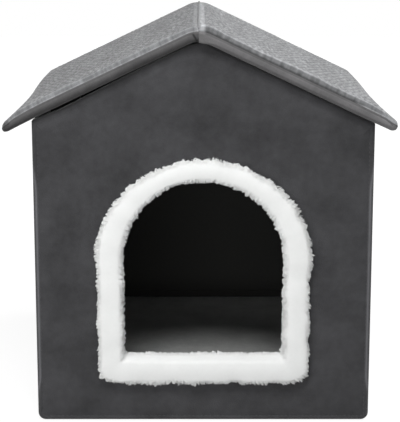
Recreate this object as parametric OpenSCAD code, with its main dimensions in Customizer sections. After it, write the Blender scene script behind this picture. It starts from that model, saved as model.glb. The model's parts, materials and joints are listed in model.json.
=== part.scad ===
// Foldable pet house of padded cloth panels: a gabled front wall with a fur-trimmed
// arched doorway, two side walls that fold inwards at a crease, a back wall, a floor pad
// that the walls stand on, and a loose two-panel roof with a seam along its ridge.
// Millimetres. Origin on the ground in the middle of the house, +Z up, doorway facing -Y.

/* [Walls] */
// Width of the front wall across its shoulders
wall_w = 340; // [320:1:370]
// How much further out each side of the front wall stands at the ground
wall_flare = 3; // [0:0.5:8]
// Depth of the house, from front face to back face
house_d = 366; // [350:1:420]
// Height of the wall shoulders above the ground
shoulder_z = 315; // [280:1:350]
// Thickness of the padded walls
wall_t = 14; // [10:0.5:18]
// Rounding of the gabled walls' outer edges
wall_edge_r = 4; // [2:0.5:4.5]
// Rounding of the front wall's lower corners
wall_corner_r = 8; // [4:1:16]
// Rounding of the shoulders
shoulder_r = 6; // [2:1:12]
// How far the side walls sit inside the shoulders of the front wall
side_inset = 1.5; // [0:0.5:6]
// Rounding of the edges that meet at a fold
fold_edge_r = 1.5; // [1:0.1:2]

/* [Doorway] */
// Clear width between the sides of the fur trim
door_w = 163; // [130:1:180]
// Height of the trimmed sill above the ground
door_sill_z = 75; // [60:1:100]
// Height at which the arch of the doorway springs
door_spring_z = 178; // [150:1:195]
// Thickness of the fur where it lines the doorway
trim_lining_t = 8; // [5:0.5:12]
// Width of the fur band beside the doorway
trim_side_w = 27; // [20:1:34]
// Width of the fur band over the arch
trim_top_w = 20; // [16:1:30]
// Width of the fur band below the sill
trim_sill_w = 28; // [20:1:34]
// How far the fur stands out of the front wall
trim_depth = 13; // [8:1:18]
// Rounding of the fur band's lower outer corners
trim_corner_r = 14; // [8:1:20]

/* [Roof] */
// Width of the roof from eave to eave
roof_w = 386; // [370:1:430]
// Depth of the roof from front edge to rear edge
roof_d = 390; // [385:1:450]
// Slope of the roof and the gables, in degrees
roof_slope = 25.3; // [18:0.1:32]
// Thickness of the padded roof panels
roof_t = 13; // [10:0.5:18]
// Rounding of the roof over the ridge
ridge_r = 32; // [20:1:45]
// Rounding of the roof corners at the eaves, seen from above
roof_corner_r = 9; // [4:1:20]
// Rounding of the front and rear roof edges
roof_edge_r = 4.5; // [2:0.5:4.5]
// How far the loose roof has slid to the left
roof_shift = 4.5; // [0:0.5:6]

/* [Floor pad] */
// Thickness of the floor pad
pad_t = 22; // [16:1:30]
// Rounding of the floor pad's upper edges
pad_edge_r = 6; // [2:0.5:7]
// Rounding of the floor pad's corners, seen from above
pad_corner_r = 8; // [4:1:20]

/* [Folds] */
// Distance of the corner fold lines from the inner faces of the side walls
corner_fold_in = 3; // [3:0.1:5]
// Distance of the crease fold lines from the outer faces of the side walls
crease_fold_out = 2; // [2:0.1:3]
// Space between the two creases when the sides are folded in
folded_gap = 8; // [8:1:20]
// Shortest return that carries a corner seam
return_min = 6; // [4:1:12]
// Radius of the corner seams
corner_seam_r = 2.6; // [2:0.1:2.6]
// Radius of the crease seams
crease_seam_r = 1.7; // [1:0.1:1.7]
// Radius of the ridge seam
ridge_seam_r = 1.4; // [1:0.1:2]

/* [Cloth] */
// Thickness of the covers and linings
cloth_t = 1.2; // [0.8:0.1:1.4]
// Width of the hem by which a cover reaches around its panel's edge
hem_w = 10; // [8:1:16]

/* [Clearances] */
// Gap between two panels at a fold
fold_gap = 0.6; // [0.4:0.1:1]
// Gap between the roof and the gable that it rests on
roof_gap = 0.4; // [0.3:0.1:0.8]
// Gap between the floor pad and the walls around and above it
stand_gap = 0.4; // [0.3:0.1:0.8]
// Height of the front wall's lower edge above the ground
ground_gap = 0.6; // [0.4:0.1:2]
// Gap between a seam bead and the groove it lies in
bead_gap = 0.3; // [0.2:0.1:0.5]
// Gap between the fur trim and the front wall
trim_gap = 0.3; // [0.2:0.1:0.6]
// Gap between cover, foam and lining
layer_gap = 0.1; // [0.05:0.05:0.3]

/* [Hidden] */
$fn = 64;

velvet_colour = [0.26, 0.26, 0.27];
quilt_colour = [0.58, 0.58, 0.60];
lining_colour = [0.16, 0.16, 0.17];
plush_colour = [0.50, 0.50, 0.51];
foam_colour = [0.93, 0.91, 0.84];
fur_colour = [0.93, 0.94, 0.93];
seam_colour = [0.20, 0.20, 0.21];

// Fineness of the modelled roundings
edge_steps = 3;
roof_edge_steps = 5;
corner_steps = 5;
arch_steps = 24;
slice_t = 0.01;
least_r = 0.2;

LEFT = -1;
RIGHT = 1;
FRONT = -1;
REAR = 1;

// Walls and their fold lines
half_w = wall_w / 2;
front_y = -house_d / 2;
front_inner_y = front_y + wall_t;
side_x = half_w - side_inset;
corner_x = side_x - wall_t - corner_fold_in;
crease_x = side_x + crease_fold_out;
corner_y = min(corner_x - folded_gap / 2, house_d / 2 - wall_t - return_min);
half_gap = fold_gap / 2;
wall_foot_z = pad_t + stand_gap;
side_top_z = shoulder_z - shoulder_r / 2;
side_h = side_top_z - wall_foot_z;
apex_z = shoulder_z + half_w * tan(roof_slope);

// Doorway through the wall, and the fur that lines it
hole_hw = door_w / 2 + trim_lining_t;
hole_sill_z = door_sill_z - trim_lining_t;

// Roof planes, which would meet above the rounded ridge
ridge_x = -roof_shift;
roof_under_z = apex_z + roof_shift * tan(roof_slope) + roof_gap / cos(roof_slope);
roof_peak_z = roof_under_z + roof_t / cos(roof_slope);
ridge_z = roof_peak_z - ridge_r * (1 / cos(roof_slope) - 1);
eave_r = roof_t / 2;
eave_reach = (roof_w / 2 - eave_r + eave_r * sin(roof_slope)) / cos(roof_slope) + eave_r;

// Points along an arc
function arc(cx, cy, r, a0, a1) =
    [for (i = [0:corner_steps])
        let (a = a0 + (a1 - a0) * i / corner_steps)
        [cx + r * cos(a), cy + r * sin(a)]];

function rectangle(x0, x1, y0, y1) = [[x0, y0], [x1, y0], [x1, y1], [x0, y1]];

// Rectangle with its corners on the far side of x rounded
function tab(x0, x1, y0, y1, r) =
    concat(
        [[x0, y1], [x0, y0]],
        arc(x1 - r, y0 + r, r, -90, 0),
        arc(x1 - r, y1 - r, r, 0, 90)
    );

// Rectangle with four rounded corners
function rounded(x0, x1, y0, y1, r) =
    concat(
        arc(x0 + r, y0 + r, r, 180, 270),
        arc(x1 - r, y0 + r, r, 270, 360),
        arc(x1 - r, y1 - r, r, 0, 90),
        arc(x0 + r, y1 - r, r, 90, 180)
    );

// Height of a shoulder rounding's centre
function shoulder_centre_z() =
    shoulder_z - shoulder_r * (1 - sin(roof_slope)) / cos(roof_slope);

// Gabled wall outline, from its foot to its apex
function gable(foot_hw, foot_z, foot_r) =
    concat(
        arc(foot_r - foot_hw, foot_z + foot_r, foot_r, 180, 270),
        arc(foot_hw - foot_r, foot_z + foot_r, foot_r, 270, 360),
        arc(half_w - shoulder_r, shoulder_centre_z(), shoulder_r, 0, 90 - roof_slope),
        [[0, apex_z]],
        arc(shoulder_r - half_w, shoulder_centre_z(), shoulder_r, 90 + roof_slope, 180)
    );

front_outline = gable(half_w + wall_flare, ground_gap, wall_corner_r);
back_outline = gable(half_w, wall_foot_z, fold_edge_r);
pad_outline = rounded(-side_x, side_x, front_inner_y + stand_gap, house_d / 2, pad_corner_r);

// One half of a side wall, in that wall's own plane
function half_outline(side, end) =
    let (middle = -side * end * corner_y / 2, reach = corner_y / 2 - half_gap)
    rectangle(middle - reach, middle + reach, wall_foot_z, side_top_z);

// Return from a gabled wall to the corner fold, in the side wall's plane
function return_outline(side, end) =
    let (
        at_wall = house_d / 2 - wall_t - layer_gap,
        at_fold = corner_y + half_gap,
        flip = -side * end
    )
    rectangle(min(flip * at_wall, flip * at_fold), max(flip * at_wall, flip * at_fold),
        wall_foot_z, side_top_z);

// One thin layer of a padded panel
module pad_slice(outline, inset, depth) {
    translate([0, 0, depth])
        linear_extrude(slice_t)
            offset(delta = -inset)
                polygon(outline);
}

// Padded panel with rounded edges, its outer face at depth 0. A skin above 0 gives
// the space that is left inside a cover of that thickness.
module pad(outline, t, outer_r, inner_r, skin = 0) {
    ro = max(outer_r - skin, least_r);
    ri = max(inner_r - skin, least_r);
    hull() {
        translate([0, 0, skin + ro])
            linear_extrude(t - 2 * skin - ro - ri)
                offset(delta = -skin)
                    polygon(outline);
        for (i = [0:edge_steps - 1]) {
            a = 90 * i / edge_steps;
            pad_slice(outline, skin + ro * (1 - sin(a)), skin + ro * (1 - cos(a)));
            pad_slice(outline, skin + ri * (1 - sin(a)), t - skin - ri * (1 - cos(a)) - slice_t);
        }
    }
}

// Window in the hem that the lining closes
module lining_window(outline, t) {
    translate([0, 0, t - 1.5 * cloth_t])
        linear_extrude(3 * cloth_t)
            offset(delta = -hem_w)
                polygon(outline);
}

module pad_cover(outline, t, outer_r, inner_r) {
    difference() {
        pad(outline, t, outer_r, inner_r);
        pad(outline, t, outer_r, inner_r, cloth_t);
        lining_window(outline, t);
    }
}

module pad_foam(outline, t, outer_r, inner_r) {
    pad(outline, t, outer_r, inner_r, cloth_t + layer_gap);
}

module pad_lining(outline, t) {
    translate([0, 0, t - cloth_t])
        linear_extrude(cloth_t)
            offset(delta = -(hem_w + layer_gap))
                polygon(outline);
}

// Places of the panels: each has its outer face down before it is set up
module on_front() {
    translate([0, front_y, 0])
        rotate([90, 0, 180])
            children();
}

module on_back() {
    translate([0, -front_y, 0])
        rotate([90, 0, 0])
            children();
}

module on_side(side) {
    translate([side * side_x, 0, 0])
        rotate([90, 0, -90 * side])
            children();
}

module on_floor() {
    translate([0, 0, pad_t])
        mirror([0, 0, 1])
            children();
}

module on_roof(side) {
    translate([ridge_x, 0, roof_peak_z])
        mirror([side == LEFT ? 1 : 0, 0, 0])
            rotate([0, roof_slope, 0])
                mirror([0, 0, 1])
                    children();
}

// Floor pad
module base_cover() {
    color(plush_colour)
        on_floor()
            pad_cover(pad_outline, pad_t, pad_edge_r, fold_edge_r);
}

module base_foam() {
    color(foam_colour)
        on_floor()
            pad_foam(pad_outline, pad_t, pad_edge_r, fold_edge_r);
}

module base_bottom() {
    color(lining_colour)
        on_floor()
            pad_lining(pad_outline, pad_t);
}

// Arched doorway cut through the front wall
module doorway() {
    on_front()
        translate([0, 0, -wall_t])
            linear_extrude(3 * wall_t) {
                translate([0, door_spring_z])
                    circle(r = hole_hw);
                translate([-hole_hw, hole_sill_z])
                    square([2 * hole_hw, door_spring_z - hole_sill_z]);
            }
}

// Front wall
module front_cover() {
    color(velvet_colour)
        difference() {
            on_front()
                pad_cover(front_outline, wall_t, wall_edge_r, fold_edge_r);
            doorway();
        }
}

module front_foam() {
    color(foam_colour)
        difference() {
            on_front()
                pad_foam(front_outline, wall_t, wall_edge_r, fold_edge_r);
            doorway();
        }
}

module front_lining() {
    color(lining_colour)
        difference() {
            on_front()
                pad_lining(front_outline, wall_t);
            doorway();
        }
}

// Outline of the doorway or its trim, walked from the right springing over the arch
function arch_path(hw, rise, sill_z, r) =
    concat(
        [for (i = [0:arch_steps])
            let (a = 180 * i / arch_steps)
            [hw * cos(a), door_spring_z + rise * sin(a)]],
        [[-hw, (door_spring_z + sill_z + r) / 2]],
        arc(r - hw, sill_z + r, r, 180, 270),
        [[0, sill_z]],
        arc(hw - r, sill_z + r, r, 270, 360),
        [[hw, (door_spring_z + sill_z + r) / 2]]
    );

// Fur trim: a soft roll around the doorway with a lining that reaches through the wall.
// Each ring runs from the lining's inner edge over the roll to the wall and back.
module door_trim() {
    inner = arch_path(door_w / 2, door_w / 2, door_sill_z, least_r * 10);
    seat = arch_path(hole_hw - trim_gap, hole_hw - trim_gap, hole_sill_z + trim_gap, least_r * 10);
    outer = arch_path(
        door_w / 2 + trim_side_w, door_w / 2 + trim_top_w, door_sill_z - trim_sill_w, trim_corner_r);
    roll = [[0, 0.4], [0.14, 0.82], [0.38, 1], [0.62, 1], [0.86, 0.82], [1, 0.35]];
    face_y = front_y - trim_gap;
    function ring(k) =
        concat(
            [[inner[k].x, front_inner_y, inner[k].y]],
            [for (p = roll)
                let (at = inner[k] + (outer[k] - inner[k]) * p.x)
                [at.x, face_y - trim_depth * p.y, at.y]],
            [
                [outer[k].x, face_y, outer[k].y],
                [seat[k].x, face_y, seat[k].y],
                [seat[k].x, front_inner_y, seat[k].y]
            ]
        );
    n = len(inner);
    m = len(ring(0));
    color(fur_colour)
        polyhedron(
            points = [for (k = [0:n - 1]) each ring(k)],
            faces = [for (k = [0:n - 1], j = [0:m - 1])
                let (
                    a = k * m + j,
                    b = k * m + (j + 1) % m,
                    c = ((k + 1) % n) * m + (j + 1) % m,
                    d = ((k + 1) % n) * m + j
                )
                each [[a, b, c], [a, c, d]]],
            convexity = 8
        );
}

// Back wall
module back_cover() {
    color(velvet_colour)
        on_back()
            pad_cover(back_outline, wall_t, wall_edge_r, fold_edge_r);
}

module back_foam() {
    color(foam_colour)
        on_back()
            pad_foam(back_outline, wall_t, wall_edge_r, fold_edge_r);
}

module back_lining() {
    color(lining_colour)
        on_back()
            pad_lining(back_outline, wall_t);
}

// Halves of the side walls
module half_cover(side, end) {
    color(velvet_colour)
        on_side(side)
            pad_cover(half_outline(side, end), wall_t, fold_edge_r, fold_edge_r);
}

module half_foam(side, end) {
    color(foam_colour)
        on_side(side)
            pad_foam(half_outline(side, end), wall_t, fold_edge_r, fold_edge_r);
}

module half_lining(side, end) {
    color(lining_colour)
        on_side(side)
            pad_lining(half_outline(side, end), wall_t);
}

// Short padded return that carries a corner seam
module corner_return(side, end) {
    color(velvet_colour)
        on_side(side)
            pad(return_outline(side, end), wall_t, fold_edge_r, fold_edge_r);
}

// Seams on the fold lines
module corner_seam(side, end) {
    color(seam_colour)
        translate([side * corner_x, end * corner_y, wall_foot_z])
            cylinder(r = corner_seam_r, h = side_h);
}

module crease_seam(side) {
    color(seam_colour)
        translate([side * crease_x, 0, wall_foot_z])
            cylinder(r = crease_seam_r, h = side_h);
}

module ridge_line(r, reach) {
    translate([ridge_x, -reach / 2, ridge_z])
        rotate([-90, 0, 0])
            cylinder(r = r, h = reach);
}

module ridge_seam() {
    color(quilt_colour)
        ridge_line(ridge_seam_r, roof_d - 2 * roof_edge_r);
}

// How far a rounded edge of radius r draws in at a depth below its face
function drawn_in(r, depth) = depth < r ? r - sqrt(r * r - (r - depth) * (r - depth)) : 0;

// Roof panel in its own plane, from behind the ridge to its full-round eave
module roof_slice(skin, depth, from, to) {
    at_eave = eave_reach - skin - drawn_in(eave_r - skin, depth);
    at_edge = roof_d / 2 - skin - drawn_in(max(roof_edge_r - skin, least_r), depth);
    translate([0, 0, from])
        linear_extrude(to - from)
            polygon(tab(-2 * roof_t, at_eave, -at_edge, at_edge, roof_corner_r));
}

module roof_pad(side, skin) {
    on_roof(side)
        hull() {
            roof_slice(skin, eave_r, eave_r - slice_t, eave_r + slice_t);
            for (i = [0:roof_edge_steps - 1]) {
                depth = (eave_r - skin) * (1 - cos(90 * i / roof_edge_steps));
                roof_slice(skin, depth, skin + depth, skin + depth + slice_t);
                roof_slice(skin, depth, roof_t - skin - depth - slice_t, roof_t - skin - depth);
            }
        }
}

// What the ridge takes off a roof panel: the far side, a little for the seam,
// and the peak over the rounding
module ridge_cut(side, back, skin) {
    span = roof_w + roof_d;
    translate([side == LEFT ? ridge_x - back : ridge_x + back - span, -span / 2, 0])
        cube([span, span, 2 * roof_peak_z]);
    translate([ridge_x, span / 2, 0])
        rotate([90, 0, 0])
            linear_extrude(span)
                difference() {
                    translate([-ridge_r * sin(roof_slope), ridge_z - ridge_r * (1 - cos(roof_slope))])
                        square([2 * ridge_r * sin(roof_slope), 2 * ridge_r]);
                    translate([0, ridge_z - ridge_r])
                        circle(r = ridge_r - skin, $fn = 128);
                }
}

module roof_cover(side) {
    seam_wall = cloth_t + ridge_seam_r;
    color(quilt_colour)
        difference() {
            roof_pad(side, 0);
            ridge_cut(side, half_gap, 0);
            difference() {
                roof_pad(side, cloth_t);
                ridge_cut(side, half_gap + seam_wall, cloth_t);
            }
            on_roof(side)
                lining_window(lining_outline(), roof_t);
            ridge_line(ridge_seam_r + bead_gap, 2 * roof_d);
        }
}

module roof_foam(side) {
    seam_wall = cloth_t + ridge_seam_r + layer_gap;
    color(foam_colour)
        difference() {
            roof_pad(side, cloth_t + layer_gap);
            ridge_cut(side, half_gap + seam_wall, cloth_t + layer_gap);
        }
}

// Roof panel's underside from the ridge hem to the eave, before its own hem is taken off
function lining_outline() =
    rectangle(roof_t * tan(roof_slope), eave_reach, -roof_d / 2, roof_d / 2);

module roof_lining(side) {
    color(lining_colour)
        on_roof(side)
            pad_lining(lining_outline(), roof_t);
}

// Floor pad
base_cover();
base_foam();
base_bottom();

// Front wall with its doorway, returns and seams
front_cover();
front_foam();
front_lining();
door_trim();
corner_return(LEFT, FRONT);  // front_left_return
corner_return(RIGHT, FRONT);  // front_right_return
corner_seam(LEFT, FRONT);  // left_front_seam
corner_seam(RIGHT, FRONT);  // right_front_seam

// Left wall
half_cover(LEFT, FRONT);  // left_front_cover
half_foam(LEFT, FRONT);  // left_front_foam
half_lining(LEFT, FRONT);  // left_front_lining
crease_seam(LEFT);  // left_crease_seam
half_cover(LEFT, REAR);  // left_rear_cover
half_foam(LEFT, REAR);  // left_rear_foam
half_lining(LEFT, REAR);  // left_rear_lining

// Right wall
half_cover(RIGHT, FRONT);  // right_front_cover
half_foam(RIGHT, FRONT);  // right_front_foam
half_lining(RIGHT, FRONT);  // right_front_lining
crease_seam(RIGHT);  // right_crease_seam
half_cover(RIGHT, REAR);  // right_rear_cover
half_foam(RIGHT, REAR);  // right_rear_foam
half_lining(RIGHT, REAR);  // right_rear_lining

// Back wall with its returns and seams
back_cover();
back_foam();
back_lining();
corner_return(LEFT, REAR);  // back_left_return
corner_return(RIGHT, REAR);  // back_right_return
corner_seam(LEFT, REAR);  // left_rear_seam
corner_seam(RIGHT, REAR);  // right_rear_seam

// Roof
roof_cover(LEFT);  // roof_left_cover
roof_foam(LEFT);  // roof_left_foam
roof_lining(LEFT);  // roof_left_lining
ridge_seam();
roof_cover(RIGHT);  // roof_right_cover
roof_foam(RIGHT);  // roof_right_foam
roof_lining(RIGHT);  // roof_right_lining
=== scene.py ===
import json
import math

import bpy
import numpy as np
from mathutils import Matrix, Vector


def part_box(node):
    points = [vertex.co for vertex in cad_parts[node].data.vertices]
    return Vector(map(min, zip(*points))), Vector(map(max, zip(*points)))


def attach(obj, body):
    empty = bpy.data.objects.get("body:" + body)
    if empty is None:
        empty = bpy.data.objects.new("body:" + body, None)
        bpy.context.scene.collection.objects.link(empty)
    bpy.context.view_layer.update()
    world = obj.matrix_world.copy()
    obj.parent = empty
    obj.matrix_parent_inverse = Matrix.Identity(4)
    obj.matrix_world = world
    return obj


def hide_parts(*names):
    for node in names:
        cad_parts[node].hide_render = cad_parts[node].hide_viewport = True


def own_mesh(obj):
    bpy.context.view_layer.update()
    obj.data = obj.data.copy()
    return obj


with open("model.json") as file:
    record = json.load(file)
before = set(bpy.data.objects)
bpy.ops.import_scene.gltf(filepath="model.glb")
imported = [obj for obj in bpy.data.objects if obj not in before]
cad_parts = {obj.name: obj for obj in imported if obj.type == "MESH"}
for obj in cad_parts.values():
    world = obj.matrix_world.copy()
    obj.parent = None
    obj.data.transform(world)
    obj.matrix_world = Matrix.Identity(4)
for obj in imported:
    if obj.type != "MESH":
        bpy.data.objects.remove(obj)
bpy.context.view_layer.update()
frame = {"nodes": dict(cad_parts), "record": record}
scene = bpy.context.scene
MM = 0.001

# Places read from the frame
front_low, front_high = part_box("front_cover")
back_low, back_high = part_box("back_cover")
floor_low, floor_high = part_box("base_cover")
half_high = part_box("right_rear_cover")[1]
ridge_low, ridge_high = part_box("ridge_seam")
roof_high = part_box("roof_right_cover")[1]
RIDGE_X = (ridge_low.x + ridge_high.x) / 2
RIDGE_Z = (ridge_low.z + ridge_high.z) / 2

# Sizes of the walls
WALL_T = front_high.y - front_low.y
WALL_HALF_W = 170 * MM
SHOULDER_Z = 315 * MM
SHOULDER_R = 6 * MM
FOOT_R = 8 * MM
EDGE_R = 4 * MM
FOLD_R = 1.5 * MM
WELT_IN = 5.4 * MM
SIDE_PUFF = 2 * MM
SIDE_RISE = {-1: 5.6 * MM, 1: 1.5 * MM}
CLOTH_T = 1.2 * MM
HEM_W = 10 * MM
LAYER_GAP = 0.1 * MM
SKIN_T = CLOTH_T + LAYER_GAP
PANEL_CORNER_R = 2 * MM
STITCH_STEP = 4.4 * MM
STITCH_L = 3.2 * MM
CLOTH_TOP_R = 0.1 * MM
CLOTH_EDGE_R = 0.4 * MM
OUTLINE_STEP = 4 * MM
WALL_RINGS = 26
LINING_RINGS = 16
MIDDLE_R = 6 * MM
SLOPE = math.radians(25.3)

# Sizes of the doorway and its fur
HOLE_HALF_W = 89.5 * MM
HOLE_SILL_Z = 67 * MM
SPRING_Z = 178 * MM
ARCH_CENTRE = np.array([0, SPRING_Z])
HOLE_SQUARENESS = 40
DOOR_SQUARENESS = 80
TRIM_SQUARENESS = 20
ROLL_SQUARENESS = 24
DOOR_HALF_W = 81.5 * MM
DOOR_SILL_Z = 72.6 * MM
TRIM_HALF_W = 108.5 * MM
TRIM_RISE = 101.5 * MM
TRIM_FOOT_Z = 45.5 * MM
TRIM_STEPS = 420
STRAND_COUNT = 30000
TUFT_COUNT = STRAND_COUNT // 18
STRAND_L = 4.0 * MM
STRAND_R = 0.23 * MM
FRONT_TURN = 8.0

# Sizes of the roof
ROOF_T = 13 * MM
ROOF_HALF_D = roof_high.y
RIDGE_R = 32 * MM
ROOF_CORNER_R = 9 * MM
ROOF_EDGE_R = 4.2 * MM
SEAM_GAP = 0.05 * MM
PEAK_Z = RIDGE_Z + RIDGE_R * (1 / math.cos(SLOPE) - 1)
EAVE_R = ROOF_T / 2
EAVE_REACH = (roof_high.x - RIDGE_X - EAVE_R + EAVE_R * math.sin(SLOPE)) / math.cos(SLOPE) + EAVE_R
DIAMOND_U = 6 * MM
DIAMOND_V = 22 * MM
ROOF_STEP_U = 1.25 * MM
ROOF_STEP_V = 1.7 * MM
RIDGE_RIM = 5 * MM
ROOF_RIM = 11 * MM
SEAM_IN = 0.9 * MM

# Sizes of the floor pad
PAD_T = floor_high.z - floor_low.z
PAD_EDGE_R = 6 * MM
PAD_CORNER_R = 8 * MM
PAD_CROWN = 2 * MM


# Smooth random fields

def lattice(cells, seed):
    """A fixed random number from -1 to 1 for each whole-numbered cell."""
    mixed = cells[..., 0] * 374761393 + cells[..., 1] * 668265263 + cells[..., 2] * 2147483647
    mixed = (mixed + seed * 1274126177) & 0xFFFFFFFF
    mixed = ((mixed ^ (mixed >> 13)) * 1274126177) & 0xFFFFFFFF
    mixed = mixed ^ (mixed >> 16)
    return mixed / 0x7FFFFFFF - 1


def ripple(points, size, seed):
    """Smooth noise from -1 to 1 whose blotches are about size across."""
    spots = np.asarray(points, float) / size
    base = np.floor(spots).astype(np.int64)
    part = spots - base
    part = part * part * (3 - 2 * part)
    total = np.zeros(spots.shape[:-1])
    for corner in np.ndindex(2, 2, 2):
        share = np.prod(np.where(corner, part, 1 - part), axis=-1)
        total += share * lattice(base + np.array(corner), seed)
    return total


def bell(distance, centre, width):
    """A smooth hump of height 1."""
    return np.exp(-((distance - centre) / width) ** 2)


def rising(distance, start, end):
    """0 before start, 1 after end, smooth between."""
    part = np.clip((distance - start) / (end - start), 0, 1)
    return part * part * (3 - 2 * part)


def rounding(inside, radius):
    """How far a rounded edge has dropped at a distance inside its outline."""
    near = np.clip(radius - inside, 0, radius)
    return radius - np.sqrt(radius * radius - near * near)


def field(u, v, layer=0.0):
    """Points at which noise is taken, in a layer of their own."""
    return np.stack([u, v, np.full_like(u, layer)], -1)


def unit(vectors):
    """Vectors scaled to a length of 1."""
    return vectors / np.linalg.norm(vectors, axis=-1)[..., None]


def length_along(path):
    """How far along a path each of its points lies."""
    return np.concatenate([[0], np.cumsum(np.linalg.norm(np.diff(path, axis=0), axis=1))])


# Meshes

def mark(mesh, label, values):
    """Gives each point of a mesh a value."""
    layer = mesh.attributes.new(label, "FLOAT", "POINT")
    layer.data.foreach_set("value", np.asarray(values, np.float32))


def point_values(mesh, label):
    """The place or the normal of each point of a mesh."""
    values = np.zeros(3 * len(mesh.vertices))
    mesh.vertices.foreach_get(label, values)
    return values.reshape(-1, 3)


def new_piece(name, points, faces, marks=None, cloth_map=None):
    """A mesh object with smooth faces, its point values and its cloth map in metres."""
    mesh = bpy.data.meshes.new(name)
    mesh.from_pydata([tuple(p) for p in points], [], [tuple(f) for f in faces])
    mesh.polygons.foreach_set("use_smooth", [True] * len(mesh.polygons))
    for label, values in (marks or {}).items():
        mark(mesh, label, values)
    if cloth_map is not None:
        corner_points = np.zeros(len(mesh.loops), np.int64)
        mesh.loops.foreach_get("vertex_index", corner_points)
        layer = mesh.uv_layers.new(name="cloth")
        layer.data.foreach_set("uv", np.asarray(cloth_map, np.float32)[corner_points].ravel())
    mesh.update()
    piece = bpy.data.objects.new(name, mesh)
    scene.collection.objects.link(piece)
    return piece


def dress(piece, body, finishes, nodes=()):
    """Gives a piece its finishes, its body and the nodes that it stands for."""
    for finish in finishes:
        piece.data.materials.append(finish)
    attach(piece, body)
    if nodes:
        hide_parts(*nodes)
    return piece


def steps(start, end, step, edge):
    """Positions from start to end, closer together near both ends."""
    fine = np.array([0, 0.03, 0.12, 0.25, 0.42, 0.6, 0.8, 1]) * edge
    count = max(2, round((end - start - 2 * edge) / step))
    middle = np.linspace(start + edge, end - edge, count + 1)
    return np.concatenate([start + fine[:-1], middle, (end - fine[:-1])[::-1]])


def strip(loop_a, loop_b, closed=True):
    """Faces between two loops of point numbers that run the same way round."""
    count = len(loop_a) if closed else len(loop_a) - 1
    turn = np.roll(np.arange(len(loop_a)), -1)
    return [
        (loop_a[i], loop_b[i], loop_b[turn[i]], loop_a[turn[i]])
        for i in range(count)
    ]


def cells(number):
    """Faces of a grid, from the numbers of its points."""
    corners = [number[:-1, :-1], number[1:, :-1], number[1:, 1:], number[:-1, 1:]]
    return np.stack(corners, -1).reshape(-1, 4)


def rounded_plan(u, v, radius, square_start=False):
    """Draws the corners of a rectangular grid in to arcs, and gives the distance inside its outline."""
    u_low, u_high, v_low, v_high = u.min(), u.max(), v.min(), v.max()
    start_r = 0 if square_start else radius
    u_in = np.where(u > (u_low + u_high) / 2, u - (u_high - radius), (u_low + start_r) - u)
    v_in = np.where(v > (v_low + v_high) / 2, v - (v_high - radius), (v_low + radius) - v)
    side_u = np.where(u > (u_low + u_high) / 2, 1, -1)
    side_v = np.where(v > (v_low + v_high) / 2, 1, -1)
    corner = (u_in > 0) & (v_in > 0)
    if square_start:
        corner &= side_u > 0
    a = np.where(corner, u_in / radius, 0)
    b = np.where(corner, v_in / radius, 0)
    drawn_u = radius * a * np.sqrt(1 - b * b / 2)
    drawn_v = radius * b * np.sqrt(1 - a * a / 2)
    plan_u = np.where(corner, u + side_u * (drawn_u - u_in), u)
    plan_v = np.where(corner, v + side_v * (drawn_v - v_in), v)
    to_u = u_high - u if square_start else np.minimum(u - u_low, u_high - u)
    to_v = np.minimum(v - v_low, v_high - v)
    inside = np.where(corner, radius - np.hypot(drawn_u, drawn_v), np.minimum(to_u, to_v))
    return plan_u, plan_v, np.maximum(inside, 0)


def pad_piece(name, us, vs, corner_r, thickness, outer_r, inner_r, spot,
              outer_form=None, inner_form=None, square_start=False, rim_from=0, side_rows=3,
              parts=(0, 0, 0)):
    """A sewn pad on a rectangular grid: its outer face, its inner face and the sides between.
    The outer face is at depth 0. The three parts are the finishes of the outer face, of the
    sides with the outer face's rim, which begins at a distance inside, and of the inner face."""
    u, v = np.meshgrid(us, vs, indexing="ij")
    plan_u, plan_v, inside = rounded_plan(u, v, corner_r, square_start)
    outer_r, inner_r = (r(plan_u) if callable(r) else r for r in (outer_r, inner_r))
    outer_w = -rounding(inside, outer_r)
    inner_w = rounding(inside, inner_r) - thickness
    if outer_form:
        outer_w = outer_w + outer_form(plan_u, plan_v, inside)
    if inner_form:
        inner_w = inner_w - inner_form(plan_u, plan_v, inside)
    rows, columns = u.shape
    number = np.arange(rows * columns).reshape(rows, columns)
    rim = np.concatenate([number[:-1, 0], number[-1, :-1], number[:0:-1, -1], number[0, :0:-1]])
    flat_u, flat_v, flat_in = plan_u.ravel(), plan_v.ravel(), inside.ravel()
    points = [spot(flat_u, flat_v, outer_w.ravel()), spot(flat_u, flat_v, inner_w.ravel())]
    edge = [flat_in, flat_in]
    cloth = [np.stack([flat_u, flat_v], 1), np.stack([flat_u, flat_v], 1)]
    loops = [rim]
    for row in range(1, side_rows + 1):
        share = row / (side_rows + 1)
        level = outer_w.ravel()[rim] * (1 - share) + inner_w.ravel()[rim] * share
        points.append(spot(flat_u[rim], flat_v[rim], level))
        edge.append(np.zeros(len(rim)))
        cloth.append(np.stack([flat_u[rim] + level, flat_v[rim] + level], 1))
        loops.append(2 * rows * columns + (row - 1) * len(rim) + np.arange(len(rim)))
    loops.append(rim + rows * columns)
    cell = cells(number)
    faces = [*cell.tolist(), *(cell[:, ::-1] + rows * columns).tolist()]
    finish = [parts[0] if flat_in[f].min() >= rim_from else parts[1] for f in cell]
    finish += [parts[2]] * len(cell)
    for upper, lower in zip(loops[:-1], loops[1:]):
        faces += strip(upper, lower)
        finish += [parts[1]] * len(rim)
    piece = new_piece(name, np.vstack(points), faces, {"edge": np.concatenate(edge)}, np.vstack(cloth))
    piece.data.polygons.foreach_set("material_index", finish)
    return piece


# Cloth simulation

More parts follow.
